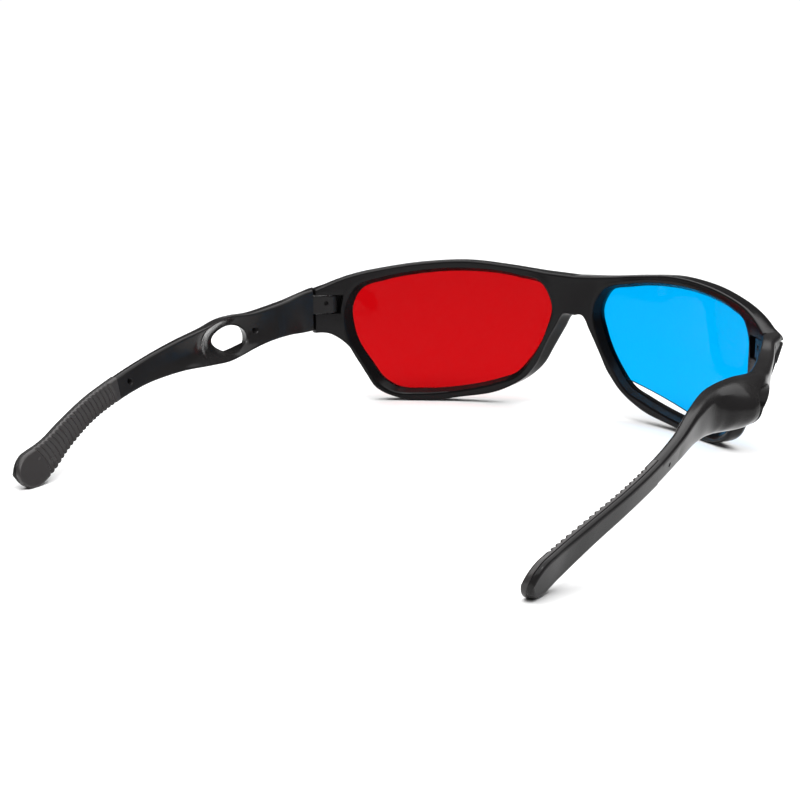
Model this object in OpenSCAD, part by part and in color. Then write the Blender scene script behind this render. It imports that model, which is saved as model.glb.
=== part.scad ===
// Red and cyan stereo glasses: a wrapped front with two tinted lenses and two folding temples.
// +X is the wearer's right, +Y is forward, +Z is up. The glasses stand on the rims and the temple tips.

/* [Front] */
// Radius of the front's outer face, seen from above
wrap_r = 90; // [84:1:100]
// Depth of the front from its outer face to its inner face
rim_t = 5; // [4.4:0.1:6]
// Width of a lens opening along the wrap
lens_w = 60.9; // [54:0.1:64]
// Height of a lens opening
lens_h = 35.1; // [31:0.1:40]
// Distance between the two lens openings along the wrap
lens_gap = 15.6; // [15:0.1:18]
// Width of the rim under a lens
rim_low = 3.4; // [2.8:0.1:4.5]
// Width of the rim over a lens
brow = 3.2; // [2.6:0.1:5]
// Width of the rim at a lens's outer side
side_rim = 3.7; // [3:0.1:5]
// Width of the rim at a lens's nose side
nose_rim = 4.9; // [4:0.1:5.1]
// Height of the bridge
bridge_h = 11; // [8:0.1:13]
// How far the brow dips at the bridge
bridge_dip = 2.7; // [1:0.1:4]
// How far the nose pads stand out behind the inner face
pad_rise = 1.2; // [0.4:0.1:2]
// Half width of the flat inner face of the bridge and the pads
pad_half_w = 7; // [5:0.5:9]
// Length along the wrap over which the pads fade out
pad_fade = 9; // [6:0.5:12]

/* [Edges] */
// Radius of the outer edges of the front and the temples
outer_round = 1.4; // [0.6:0.1:1.6]
// Radius of their inner edges
inner_round = 0.7; // [0.3:0.1:0.9]
// Radius of their lower outer edge at the joint
root_round = 2.6; // [1.6:0.1:2.9]
// Length behind the joint over which that edge falls to the common radius
root_l = 24; // [16:1:30]

/* [Lenses] */
// Thickness of a lens
lens_t = 1; // [0.8:0.1:1.4]
// Depth of a lens's front face behind the front's outer face
lens_set = 1.9; // [1.6:0.1:2.2]
// Depth of the lens groove in the rim
groove = 1.2; // [0.9:0.1:1.4]
// Clearance round a lens in its groove
lens_clear = 0.1; // [0.05:0.01:0.2]
// How far an opening widens behind its lens, up to the inner face
flare = 1.2; // [0.6:0.1:1.4]
// How far it widens there towards the hinge, besides
side_flare = 2; // [0.5:0.1:2.5]
// How far the cyan lens's lower inner corner is cut short
corner_cut = 4.6; // [1:0.1:6]

/* [Hinges] */
// Length along the wrap from a lens opening to the hinge joint
end_l = 12.8; // [12:0.1:16]
// Height of the front's top edge at the joint
ear_top = 33; // [32:0.1:36]
// Height of the front's lower edge at the joint
ear_low = 20.8; // [19:0.1:22]
// Gap between the front and the temple at the joint
joint_gap = 0.3; // [0.2:0.05:0.6]
// Height of the tongue's underside
tongue_z = 26.5; // [25.5:0.1:27]
// Height of the tongue
tongue_h = 5; // [4:0.1:5.2]
// Gap over and under the tongue
tongue_play = 0.25; // [0.15:0.05:0.5]
// How far the tongue's faces lie inside the front's faces
tongue_inset = 0.1; // [0.05:0.05:0.3]
// Distance of the hinge axis in front of the joint
axis_back = 5.2; // [4.8:0.1:6]
// Distance of the hinge axis from the inner face
axis_in = 2.3; // [2:0.1:2.4]
// Empty length of the slot in front of the tongue
slot_play = 1.2; // [0.6:0.1:2]
// Thickness of the wall that closes the slot's front end on the outer side
slot_wall = 1.2; // [0.8:0.1:1.4]
// Radius of the hinge pin
pin_r = 0.8; // [0.6:0.05:0.9]
// Running clearance of the pin in the tongue
pin_clear = 0.05; // [0.02:0.01:0.1]
// Clearance of the pin in the front
pin_seat = 0.02; // [0.01:0.01:0.05]
// How far the pin goes into the front over the tongue
pin_hold = 1.2; // [0.8:0.1:1.3]
// How far the pin reaches under the tongue
pin_drop = 5.6; // [4:0.1:5.8]

/* [Temples] */
// Length of a temple behind the joint
arm_len = 115.6; // [108:0.2:130]
// Thickness of a temple at the window
arm_t = 4; // [3.6:0.1:4.6]
// Thickness of a temple and its grip near the tip
tip_t = 2.7; // [2.6:0.1:3.2]
// How far a temple bows outwards from the joint
arm_bow = 5.2; // [4:0.1:6]
// How far a temple's faces swell outwards at the shoulder behind the window
arm_swell = 5.6; // [3:0.1:6]
// Lean of a temple's faces at the window, outwards for each millimetre upwards
arm_lean = 0.16; // [0:0.01:0.2]
// Lean of its faces at the tip
tip_lean = 0.3; // [0:0.01:0.35]
// How far a temple's tip turns inwards from the joint
tip_turn = 2.6; // [0.5:0.1:6]
// Length of the oval window
window_l = 11.6; // [10:0.1:12.6]
// Height of the oval window
window_h = 7.2; // [6:0.1:7.6]
// Distance of the window's middle behind the joint
window_back = 32.4; // [31:0.1:34]
// How far the window's middle lies under the temple's
window_drop = 0.6; // [0:0.1:0.8]
// Depth of the lip round the window
lip_depth = 0.7; // [0.4:0.1:1]
// Width of the lip round the window
lip_w = 0.7; // [0.4:0.1:0.9]
// Radius of the cord hole
cord_r = 0.75; // [0.5:0.05:1]
// Distance of the cord hole behind the joint
cord_back = 73; // [69:0.5:74]

/* [Grips] */
// Distance of the grip's front end behind the joint
grip_back = 77; // [76:0.5:79]
// Thickness of the temple under the grip
grip_seat = 1.3; // [1.2:0.1:1.5]
// Glue gap between the grip and the temple
glue = 0.05; // [0.02:0.01:0.1]
// Number of ribs
rib_n = 20; // [12:1:20]
// Distance from rib to rib, along the temple's length
rib_pitch = 1.44; // [1.2:0.02:1.5]
// Width of a rib
rib_w = 0.76; // [0.5:0.02:0.9]
// Height of a rib
rib_h = 0.45; // [0.2:0.05:0.6]
// Radius of a rib's arc
rib_arc = 7; // [5:0.5:12]

/* [Hidden] */
$fn = 96;

// Steps of a curve between two of its knots
steps = 5;
// Rows of points on each face of the temple, between its edges
face_rows = 3;
// Allowance that carries a cut past the faces it opens
past = 1;
// Radius that outlines are laid out on, in the middle of the front's depth
layout_r = wrap_r - rim_t / 2;
// Lowest and highest point of a lens opening
lens_low = rim_low;
lens_top = lens_low + lens_h;
bridge_top = lens_top + brow - bridge_dip;
bridge_low = bridge_top - bridge_h;
// Height of cuts, more than the front's
tall = 1.5 * (lens_top + brow);
// Hinge joint: length and angle round the wrap, and the place of its outer edge
joint_s = lens_gap / 2 + lens_w + end_l;
joint_a = joint_s / wrap_r * 180 / PI;
joint_x = wrap_r * sin(joint_a);
joint_y = wrap_r * cos(joint_a) - wrap_r;
// The front runs on past the joint, where a plane cuts it
front_end = joint_s + 0.6 * rim_t;
tongue_top = tongue_z + tongue_h;
// Moves the front's foremost line to half the depth, so that the origin is under the middle
shift_y = (arm_len - joint_y) / 2;
black = "#1d1d1f";

// A curve through knots, with each knot's heading weighted by the distances to its neighbours.
// A knot with a third value is a corner.
function knot(list, i) = list[(i + len(list)) % len(list)];
function spot(list, i) = [knot(list, i)[0], knot(list, i)[1]];
function reach(list, i) = spot(list, i + 1) - spot(list, i);
function heading(list, i) =
  let (before = norm(reach(list, i - 1)), after = norm(reach(list, i)))
  (reach(list, i - 1) * after / before + reach(list, i) * before / after) / (before + after);
function is_corner(list, i) = len(knot(list, i)) > 2;
function leaving(list, i) =
  is_corner(list, i) ? reach(list, i) : heading(list, i) * norm(reach(list, i));
function arriving(list, i) =
  is_corner(list, i) ? reach(list, i - 1) : heading(list, i) * norm(reach(list, i - 1));
function between(a, b, out, in, t) =
  a * (2 * t ^ 3 - 3 * t ^ 2 + 1) + out * (t ^ 3 - 2 * t ^ 2 + t)
  + b * (3 * t ^ 2 - 2 * t ^ 3) + in * (t ^ 3 - t ^ 2);
function piece(list, i) = [
  for (k = [0:steps - 1])
    between(spot(list, i), spot(list, i + 1), leaving(list, i), arriving(list, i + 1), k / steps)
];
function closed_curve(list) = [for (i = [0:len(list) - 1]) each piece(list, i)];
function open_curve(list) = [
  for (i = [0:len(list) - 2]) each piece(list, i),
  spot(list, len(list) - 1)
];
function reversed(list) = [for (i = [len(list) - 1:-1:0]) list[i]];
// Moves each point of a clockwise outline outwards
function grown(list, by) = [
  for (i = [0:len(list) - 1])
    let (along = knot(list, i + 1) - knot(list, i - 1))
    list[i] + by * [-along[1], along[0]] / norm(along)
];

// A box with rounded edges, as points out of the part and upwards
function corner(x, z, r, from) = [
  for (a = [from:30:from + 90]) [x + r * cos(a), z + r * sin(a)]
];
function ring(out, in, top, low, low_round, rows = 0) =
  let (half = 0.48 * (top - low), ro = min(outer_round, half), ri = min(inner_round, half))
  let (rl = min(low_round, half), row = 1 / (rows + 1))
  concat(
    corner(out - rl, low + rl, rl, -90),
    [for (k = [1:1:rows]) [out, low + rl + k * row * (top - ro - low - rl)]],
    corner(out - ro, top - ro, ro, 0),
    corner(in + ri, top - ri, ri, 90),
    [for (k = [1:1:rows]) [in, top - ri - k * row * (top - low - 2 * ri)]],
    corner(in + ri, low + ri, ri, 180)
  );
// Solid through rings of points, closed at both ends towards the middle of its rings
function middle(points) = [for (p = points) 1] * points / len(points);
module loft(rings) {
  n = len(rings[0]);
  m = len(rings);
  last = (m - 1) * n;
  sides = [
    for (j = [0:m - 2]) for (i = [0:n - 1])
      let (a = j * n + i, b = j * n + (i + 1) % n)
      each [[a, b + n, b], [a, a + n, b + n]]
  ];
  ends = [
    for (i = [0:n - 1])
      let (k = (i + 1) % n)
      each [[i, k, m * n], [last + k, last + i, m * n + 1]]
  ];
  polyhedron(
    concat([for (r = rings) each r], [middle(rings[0]), middle(rings[m - 1])]), concat(sides, ends)
  );
}

// Front outlines, as length along the wrap and height
function opening_at(u, v) = [lens_gap / 2 + u * lens_w, lens_low + v * lens_h];
function wrapped(list) = [for (p = list) [layout_r * sin(p[0] / wrap_r * 180 / PI), p[1]]];

// Shape of a lens opening in shares of its width and height, clockwise from the nose side
opening_shape = [
  [0, 0.758], [0.043, 0.9], [0.176, 0.963], [0.422, 1], [0.677, 0.969], [0.837, 0.917],
  [0.952, 0.849], [1, 0.704], [0.992, 0.524], [0.908, 0.228], [0.857, 0.1], [0.782, 0.017],
  [0.652, 0], [0.463, 0.031], [0.274, 0.111], [0.181, 0.174], [0.115, 0.296], [0.025, 0.57]
];
opening = closed_curve([for (p = opening_shape) opening_at(p[0], p[1])]);
// Outline of an opening behind its lens, widened by a share of the flare, and its points at a depth
opening_in = wrapped([opening_at(0, 0)])[0][0];
opening_out = wrapped([opening_at(1, 0)])[0][0];
function flared(share) = [
  for (p = grown(wrapped(opening), share * flare))
    p + [share * side_flare * max(0, (p[0] - opening_in) / (opening_out - opening_in)) ^ 4, 0]
];
function at_depth(points, d) = [
  for (p = reversed(points)) [p[0], sqrt((wrap_r - d) ^ 2 - p[0] ^ 2) - wrap_r, p[1]]
];

// Top edge and lower edge of the front's right half, from the middle to past the joint
nose_knot = opening_at(0.025, 0.58) + nose_rim * [-1.04, 0];
top_edge = open_curve([
  [0, bridge_top, 1],
  [opening_at(0.04, 0)[0], bridge_top + 0.2 * bridge_dip],
  [opening_at(0.235, 0)[0], lens_top + brow - 0.35 * bridge_dip],
  opening_at(0.43, 1) + [0, brow],
  opening_at(0.645, 0.98) + [0, brow],
  opening_at(0.825, 0.94) + [0, brow],
  opening_at(1, 0.885) + [0, brow],
  [front_end, 0.98 * ear_top, 1]
]);
low_edge = open_curve([
  [0, bridge_low, 1],
  [nose_knot[0] / 2, bridge_low - 0.06 * bridge_h],
  nose_knot,
  opening_at(0.055, 0.46) + nose_rim * [-0.76, -0.3],
  opening_at(0.1, 0.33) + nose_rim * [-0.62, -0.56],
  opening_at(0.165, 0.19) + nose_rim * [-0.36, -0.5],
  opening_at(0.28, 0.111) + [0, -1.1 * rim_low],
  opening_at(0.463, 0.031) + [0, -0.78 * rim_low],
  opening_at(0.645, 0) + [0, -rim_low],
  opening_at(0.775, 0.02) + [0.3 * side_rim, -0.66 * rim_low],
  opening_at(0.835, 0.085) + [0.75 * side_rim, -0.6 * rim_low],
  opening_at(0.9, 0.21) + [side_rim, 0],
  opening_at(0.955, 0.385) + [1.27 * side_rim, 0],
  [joint_s - 0.39 * end_l, 0.98 * ear_low],
  [front_end, ear_low, 1]
]);
// Lengths along the wrap of the front's sections, closer together where its lower edge is steep
nose_end = opening_at(0.165, 0)[0];
side_start = opening_at(0.75, 0)[0];
half_stations = concat(
  [for (i = [1:16]) i / 16 * nose_end],
  [for (i = [1:12]) nose_end + i / 12 * (side_start - nose_end)],
  [for (i = [1:14]) side_start + i / 14 * (front_end - side_start)]
);
front_stations = concat([for (s = reversed(half_stations)) -s], [0], half_stations);
// Share of the pads' rise, and radius of the lower outer edge, along the wrap
function pad_share(s) = 0.5 + 0.5 * cos(180 * min(1, max(0, s - pad_half_w) / pad_fade));
function end_round(s) = lookup(s, [[side_start, outer_round], [joint_s, root_round]]);
function front_ring(s) =
  let (at = abs(s), a = s / wrap_r * 180 / PI, inner = -rim_t - pad_rise * pad_share(at))
  [
    for (p = ring(0, inner, lookup(at, top_edge), lookup(at, low_edge), end_round(at)))
      [(wrap_r + p[0]) * sin(a), (wrap_r + p[0]) * cos(a) - wrap_r, p[1]]
  ];

// Temple, seen from above, as shares of its length with how far out of the joint it lies
root_in = rim_t * [-sin(joint_a), cos(joint_a)];
function behind(out, share) = [out, share * arm_len];
arm_outer = open_curve([
  concat(behind(-0.7 * rim_t, -0.035), [1]), behind(-0.07 * rim_t, 0), behind(0.08 * arm_bow, 0.052),
  behind(0.41 * arm_bow, 0.104), behind(0.68 * arm_bow, 0.156), behind(0.9 * arm_bow, 0.208),
  behind(arm_bow, 0.26), behind(0.76 * arm_bow, 0.311), behind(0.39 * arm_bow, 0.398),
  behind(0.51 * arm_bow, 0.484), behind(0.73 * arm_bow, 0.58), behind(0.735 * arm_bow, 0.666),
  behind(0.54 * arm_bow, 0.757), behind(0.09 * arm_bow, 0.848), behind(-0.63 * tip_turn, 0.917),
  concat(behind(-tip_turn, 1), [1])
]);
// Thickness of the temple along its length
arm_thick = [
  [0.121, 1.01 * arm_t], [0.208, 1.03 * arm_t], [0.311, arm_t], [0.398, 0.93 * arm_t],
  [0.484, 1.2 * tip_t], [0.58, tip_t], [1, tip_t]
];
arm_inner = concat(
  open_curve([
    concat(behind(-1.6 * rim_t, -0.035), [1]), root_in,
    concat(behind(0.5 * arm_bow - 1.01 * arm_t, 0.121), [1])
  ]),
  [
    for (p = arm_outer)
      if (p[1] > 0.13 * arm_len) [p[0] - lookup(p[1] / arm_len, arm_thick), p[1]]
  ]
);
// Share of the swelling along the temple, highest at the shoulder
arm_shoulder = open_curve([
  [0.138, 0, 1], [0.208, 0.16], [0.26, 0.4], [0.303, 0.78], [0.336, 0.97], [0.367, 0.82],
  [0.406, 0.46], [0.455, 0.2], [0.52, 0.07], [0.59, 0, 1]
]);
// Temple, seen from the side, in shares of its length and of the joint's height
function beside(list) = open_curve([
  for (p = list) concat([p[0] * arm_len, p[1] * ear_top], p[0] < 0 || p[0] == 1 ? [1] : [])
]);
arm_top = beside([
  [-0.035, 1.042], [0.052, 0.997], [0.104, 0.942], [0.156, 0.904], [0.208, 0.878], [0.26, 0.878],
  [0.311, 0.88], [0.398, 0.843], [0.484, 0.779], [0.58, 0.68], [0.666, 0.588], [0.757, 0.488],
  [0.848, 0.375], [0.917, 0.284], [0.967, 0.233], [0.989, 0.186], [1, 0.121]
]);
arm_low = beside([
  [-0.035, 0.688], [0.052, 0.648], [0.104, 0.645], [0.156, 0.624], [0.208, 0.584], [0.26, 0.538],
  [0.311, 0.526], [0.398, 0.54], [0.484, 0.538], [0.58, 0.49], [0.666, 0.416], [0.757, 0.316],
  [0.848, 0.181], [0.917, 0.055], [0.958, 0], [0.989, 0.03], [1, 0.08]
]);
function along(curve, back) = lookup(back, [for (p = curve) [p[1], p[0]]]);
function outer_at(back) = along(arm_outer, back);
function inner_at(back) = along(arm_inner, back);
function top_at(back) = lookup(back, arm_top);
function low_at(back) = lookup(back, arm_low);
function mid_at(back) = (top_at(back) + low_at(back)) / 2;
function swell_at(back) = arm_swell * lookup(back / arm_len, arm_shoulder);
function lean_at(back) =
  lookup(back / arm_len, [[0.05, 0], [0.14, arm_lean], [0.35, arm_lean], [0.95, tip_lean]]);
// Places a point of the temple's section, leaned and swollen between its edges, in the frame of the front
function in_temple(back, p) =
  let (up = p[1] - mid_at(back), half = (top_at(back) - low_at(back)) / 2)
  let (swell = swell_at(back) * max(0, 1 - (up / half) ^ 2))
  [joint_x + p[0] + lean_at(back) * up + swell, joint_y - back, p[1]];
// Distances behind the joint of the temple's sections, closer together at the rounded tip
tip_l = 0.044 * arm_len;
arm_stations = concat(
  [for (i = [0:33]) (-0.035 + i / 33) * (arm_len - tip_l / 3)],
  [for (a = [0:18:90]) arm_len - tip_l + tip_l * sin(a)]
);
function temple_ring(back) =
  let (low_round = lookup(back, [[0, root_round], [root_l, outer_round]]))
  [
    for (p = ring(outer_at(back), inner_at(back), top_at(back), low_at(back), low_round, face_rows))
      in_temple(back, p)
  ];
// Distances behind the joint where the grip's layers are drawn
grip_stations = [for (i = [0:10]) grip_back + i / 10 * (arm_len + past - grip_back)];
function layer_ring(back, near, far) =
  let (out = outer_at(back), low = low_at(back) - past, top = top_at(back) + past)
  [
    for (p = [[out - near, low], [out - near, top], [out - far, top], [out - far, low]])
      in_temple(back, p)
  ];
// The oval window's outline, widened for its lip
window_z = mid_at(window_back) - window_drop;
function oval(grow) = [
  for (a = [0:7.5:352.5])
    [window_back + (window_l / 2 + grow) * cos(a), window_z + (window_h / 2 + grow) * sin(a)]
];
// One rib, an arc across the grip that bends towards the tip
ribs_start = grip_back + rib_pitch;
ribs_end = ribs_start + rib_n * rib_pitch;
function rib(i) =
  let (back = ribs_start + i * rib_pitch, fall = mid_at(back + past) - mid_at(back - past))
  let (slope = atan2(fall, 2 * past), mid = [back, mid_at(back)])
  let (centre = mid + rib_arc * [cos(slope), sin(slope)])
  concat(
    [for (a = [-32:16:32]) centre - (rib_arc + rib_w / 2) * [cos(slope + a), sin(slope + a)]],
    [for (a = [32:-16:-32]) centre - (rib_arc - rib_w / 2) * [cos(slope + a), sin(slope + a)]]
  );

// Extrudes a profile drawn in x and z towards -Y, or one drawn in y and z along X
module towards_back(depth) rotate([90, 0, 0]) linear_extrude(depth) children();
module along_x(from, to) translate([from, 0, 0]) rotate([90, 0, 90]) linear_extrude(to - from) children();
// Upright shell round the wrap's axis, between two depths behind the outer face
module wrap_shell(from, to) translate([0, -wrap_r, 0]) difference() {
  cylinder(r = wrap_r - from, h = tall, $fn = 360);
  translate([0, 0, -past]) cylinder(r = wrap_r - to, h = tall + 2 * past, $fn = 360);
}
// Places children at the right joint: X runs back along the wrap, Y points out of the front
module at_joint() translate([joint_x, joint_y, 0]) rotate([0, 0, -joint_a]) children();
module at_axis() at_joint() translate([-axis_back, axis_in - rim_t, 0]) children();
module both_sides() {
  children();
  mirror([1, 0, 0]) children();
}
module placed() translate([0, shift_y, 0]) children();
// Places a profile of the right temple, drawn as distance behind the joint and height
module temple_side(points) translate([0, joint_y, 0])
  along_x(joint_x - tall / 2, joint_x + tall / 2) polygon([for (p = points) [-p[0], p[1]]]);

module through_front(outline) translate([0, past, 0]) towards_back(wrap_r) polygon(wrapped(outline));
module lens_blank(outline, from, to) intersection() {
  through_front(outline);
  wrap_shell(from, to);
}
// Widens an opening from its lens to the inner face and past it
module opening_flare() {
  start = lens_set + lens_t + 2 * lens_clear;
  end = rim_t + pad_rise + past;
  loft([at_depth(flared(0), start), at_depth(flared((end - start) / (rim_t - start)), end)]);
}
// The tongue's slot is open at the joint and inside, and its front end is closed on the outer side
module hinge_slot() translate([0, -rim_t - 2 * past, tongue_z - tongue_play]) {
  height = tongue_h + 2 * tongue_play;
  open_l = axis_back + 0.85 * axis_in;
  blind_l = axis_back + axis_in + slot_play;
  translate([-open_l, 0, 0]) cube([open_l + past, rim_t + 4 * past, height]);
  translate([-blind_l, 0, 0]) cube([blind_l, rim_t + 2 * past - slot_wall, height]);
}

// Rounds the front's inner edge at the joint about the hinge axis, so that the temple turns past it
module turning_room() difference() {
  translate([-axis_back, -rim_t - past, 0]) cube([axis_back + past, axis_in + past, tall]);
  translate([-axis_back, axis_in - rim_t, -past]) cylinder(r = axis_back, h = tall + 2 * past);
}

module front_frame() color(black) placed() difference() {
  loft([for (s = front_stations) front_ring(s)]);
  both_sides() {
    through_front(opening);
    opening_flare();
    lens_blank(grown(opening, groove), lens_set - lens_clear, lens_set + lens_t + lens_clear);
    at_joint() translate([0, -2 * rim_t, 0]) cube([2 * rim_t, 4 * rim_t, tall]);
    at_joint() turning_room();
    at_joint() hinge_slot();
    at_axis() translate([0, 0, ear_low - rim_t])
      cylinder(r = pin_r + pin_seat, h = tongue_z - ear_low + rim_t);
    at_axis() translate([0, 0, tongue_top])
      cylinder(r = pin_r + pin_seat, h = tongue_play + pin_hold);
  }
}

module lens_red() color("#c8101c", 0.8) placed() mirror([1, 0, 0])
  lens_blank(grown(opening, groove - lens_clear), lens_set, lens_set + lens_t);

// The cyan lens stops short of the rim along a straight cut at its lower inner corner
module lens_cyan() color("#0aaef0", 0.8) placed() difference() {
  lens_blank(grown(opening, groove - lens_clear), lens_set, lens_set + lens_t);
  through_front([
    opening_at(0, 0.3) - [2 * rim_low, 0], opening_at(0, 0.3) + [corner_cut, 0],
    opening_at(0.45, 0) + [0, 0.15 * corner_cut], opening_at(0.45, 0) - [0, 2 * rim_low],
    opening_at(0, 0) - [2 * rim_low, 2 * rim_low]
  ]);
}

module hinge_tongue() translate([0, 0, tongue_z]) linear_extrude(tongue_h) difference() {
  union() {
    translate([-axis_back, axis_in - rim_t]) circle(r = axis_in - tongue_inset);
    polygon([
      [-axis_back, tongue_inset - rim_t], [joint_gap + past, tongue_inset - rim_t],
      [joint_gap + past, -tongue_inset], [0.87 * axis_in - axis_back, -tongue_inset],
      [-axis_back, 2 * axis_in - rim_t - tongue_inset]
    ]);
  }
  translate([-axis_back, axis_in - rim_t]) circle(r = pin_r + pin_clear);
}

// Solid of the temple with its grip
module temple_body() loft([for (b = arm_stations) temple_ring(b)]);
// Layer of the temple behind the grip's front end, between two depths under its outer face
module layer(near, far) loft([for (b = grip_stations) layer_ring(b, near, far)]);

module temple_arm() difference() {
  union() {
    difference() {
      temple_body();
      at_joint() translate([joint_gap - tall, -tall / 2, 0]) cube([tall, tall, tall]);
    }
    at_joint() hinge_tongue();
  }
  temple_side(oval(0));
  difference() {
    temple_side(oval(lip_w));
    translate([lip_depth, 0, 0]) temple_body();
  }
  layer(grip_seat, tip_t + past);
  translate([joint_x + outer_at(cord_back) + past, joint_y - cord_back, mid_at(cord_back)])
    rotate([0, -90, 0]) cylinder(r = cord_r, h = arm_t + 3 * past);
}

module temple_grip() intersection() {
  temple_body();
  union() {
    layer(grip_seat + glue, tip_t - rib_h);
    intersection() {
      layer(grip_seat + glue, tip_t + past);
      union() {
        for (i = [0:rib_n - 1]) temple_side(rib(i));
        temple_side([[ribs_end, -past], [arm_len + past, -past], [arm_len + past, tall], [ribs_end, tall]]);
      }
    }
  }
  translate([joint_x - tall / 2, joint_y - arm_len - past, -past])
    cube([tall, arm_len - grip_back - glue + past, tall]);
}

module hinge_pin() at_axis() translate([0, 0, tongue_z - pin_drop])
  cylinder(r = pin_r, h = pin_drop + tongue_h + tongue_play + pin_hold - glue);

module right_temple_arm() color(black) placed() temple_arm();
module left_temple_arm() color(black) placed() mirror([1, 0, 0]) temple_arm();
module right_temple_grip() color("#262628") placed() temple_grip();
module left_temple_grip() color("#262628") placed() mirror([1, 0, 0]) temple_grip();
module right_hinge_pin() color("silver") placed() hinge_pin();
module left_hinge_pin() color("silver") placed() mirror([1, 0, 0]) hinge_pin();

front_frame();
lens_red();
lens_cyan();
left_temple_arm();
right_temple_arm();
left_temple_grip();
right_temple_grip();
left_hinge_pin();
right_hinge_pin();
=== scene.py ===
"""Red and cyan stereo glasses: smooth moulded front, tinted lenses, lofted temples and ribbed grips."""
from collections import namedtuple
import math

import bpy
import numpy as np
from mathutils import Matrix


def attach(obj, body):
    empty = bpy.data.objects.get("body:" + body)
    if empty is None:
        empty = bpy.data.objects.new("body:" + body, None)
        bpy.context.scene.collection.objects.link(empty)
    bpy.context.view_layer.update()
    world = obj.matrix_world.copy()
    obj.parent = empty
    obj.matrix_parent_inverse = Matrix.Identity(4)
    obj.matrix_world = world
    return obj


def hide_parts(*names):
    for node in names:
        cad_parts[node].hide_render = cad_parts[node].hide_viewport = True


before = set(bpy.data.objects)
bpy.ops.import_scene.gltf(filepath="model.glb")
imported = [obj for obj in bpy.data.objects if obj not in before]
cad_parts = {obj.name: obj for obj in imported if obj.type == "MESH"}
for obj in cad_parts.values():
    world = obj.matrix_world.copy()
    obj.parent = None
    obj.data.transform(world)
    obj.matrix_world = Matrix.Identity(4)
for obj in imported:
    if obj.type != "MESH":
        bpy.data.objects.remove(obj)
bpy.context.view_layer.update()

# Sizes of the part in millimetres, as its source gives them
WRAP_R, RIM_T = 90.0, 5.0
LENS_W, LENS_H, LENS_GAP = 60.9, 35.1, 15.6
BROW, SIDE_RIM, NOSE_RIM, RIM_LOW = 3.2, 3.7, 4.9, 3.4
BRIDGE_H, BRIDGE_DIP = 11.0, 2.7
PAD_RISE, PAD_HALF_W, PAD_FADE = 1.2, 7.0, 9.0
OUTER_ROUND, INNER_ROUND, ROOT_ROUND, ROOT_L = 1.4, 0.7, 2.6, 24.0
LENS_T, LENS_SET, GROOVE, LENS_CLEAR, FLARE = 1.0, 1.9, 1.2, 0.1, 1.2
END_L, EAR_TOP, EAR_LOW, JOINT_GAP = 12.8, 33.0, 20.8, 0.3
TONGUE_Z, TONGUE_H, TONGUE_PLAY, TONGUE_INSET = 26.5, 5.0, 0.25, 0.1
AXIS_BACK, AXIS_IN, SLOT_WALL = 5.2, 2.3, 1.2
ARM_LEN, ARM_T, TIP_T, ARM_BOW, TIP_TURN = 115.6, 4.0, 2.7, 5.2, 2.6
ARM_SWELL, ARM_LEAN, TIP_LEAN = 5.6, 0.16, 0.3
WINDOW_L, WINDOW_H, WINDOW_BACK, WINDOW_DROP = 11.6, 7.2, 32.4, 0.6
CORD_R, CORD_BACK = 0.75, 73.0
GRIP_BACK, GRIP_SEAT, GLUE = 77.0, 1.3, 0.05
RIB_N, RIB_PITCH, RIB_H, RIB_ARC = 20, 1.44, 0.45, 7.0

# Sizes in millimetres that the visual shapes have besides
# Rim: fuller lower outer corner, radius at the nose, growth of the brow's radius towards the joint, width and
# depth of the soft inner edge, radius of the wall in front of a lens, its set-back and what that gains
CORNER_FULL, NOSE_ROUND, BROW_GAIN = 0.5, 1.8, 1.2
SOFT_W, SOFT_D, WALL_ROUND, WALL_BACK, WALL_GAIN = 0.5, 0.16, 0.3, 0.3, 0.5
# Nose pads' flanks: how far the rear edge stands back from the front one, by length along the wrap
SLANT = np.array([(0.6, 0), (2.2, 1.1), (3.5, 1.4), (6, 1.6), (9, 1.5), (12, 1.1), (15, 0.5), (18, 0.3), (24, 0)])
# Hinge: slope of the joint's outer side and how far below the ears' top it starts, length of the slot and of
# the wall that closes it, radii of crisp edges, bevel of the tongue
ROOT_LEAN, LEAN_DROP, SLOT_L, SLOT_WALL_L = 0.3, 2.0, 9.2, 2.6
CRISP, WALL_CRISP, TONGUE_BEVEL = 0.05, 0.02, 0.12
# Temple: where its root ends outside and inside, where that slant has faded out, round end of the tip,
# radii of the layer that carries the grip, radius of the grip
ROOT_OUT, ROOT_IN, ROOT_RUN, TIP_ROUND = 0.66, 3.44, 12.0, 4.0
SEAT_ROUND, SEAT_OUTER_ROUND, GRIP_ROUND = 0.25, 1.0, 0.6
# Window: shift forwards, inner lip, outer bevel, and how far it leans forwards on its way out; lip and bevel
# of the cord hole, which narrows outwards
WINDOW_SHIFT, LIP, WINDOW_BEVEL, WINDOW_RAKE = 0.8, 0.4, 0.9, 0.8
CORD_LIP, CORD_BEVEL = 0.12, -0.25
# Blind dimples: place along the piece, height, depth, radius of the level floor, outer radius
ARM_DIMPLE = (23.15, 24.0, 1.8, 0.45, 0.9)
TONGUE_DIMPLE = (-3.6, 2.9, 1.0, 0.3, 0.65)
# A radius is at most this share of the height it rounds
ROUND_SHARE = 0.48
# Points are joined when they agree to so many steps a millimetre; edges sharper than this angle stay sharp
JOIN_STEPS, SHARP_DEG = 2e4, 38

LAYOUT_R = WRAP_R - RIM_T / 2
LENS_LOW = RIM_LOW
LENS_TOP = LENS_LOW + LENS_H
BRIDGE_TOP = LENS_TOP + BROW - BRIDGE_DIP
BRIDGE_LOW = BRIDGE_TOP - BRIDGE_H
JOINT_S = LENS_GAP / 2 + LENS_W + END_L
JOINT_A = JOINT_S / WRAP_R
JOINT_X = WRAP_R * math.sin(JOINT_A)
JOINT_Y = WRAP_R * math.cos(JOINT_A) - WRAP_R
FRONT_END = JOINT_S + 0.6 * RIM_T
SHIFT_Y = (ARM_LEN - JOINT_Y) / 2
SLOT_START = JOINT_S - SLOT_L


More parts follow.
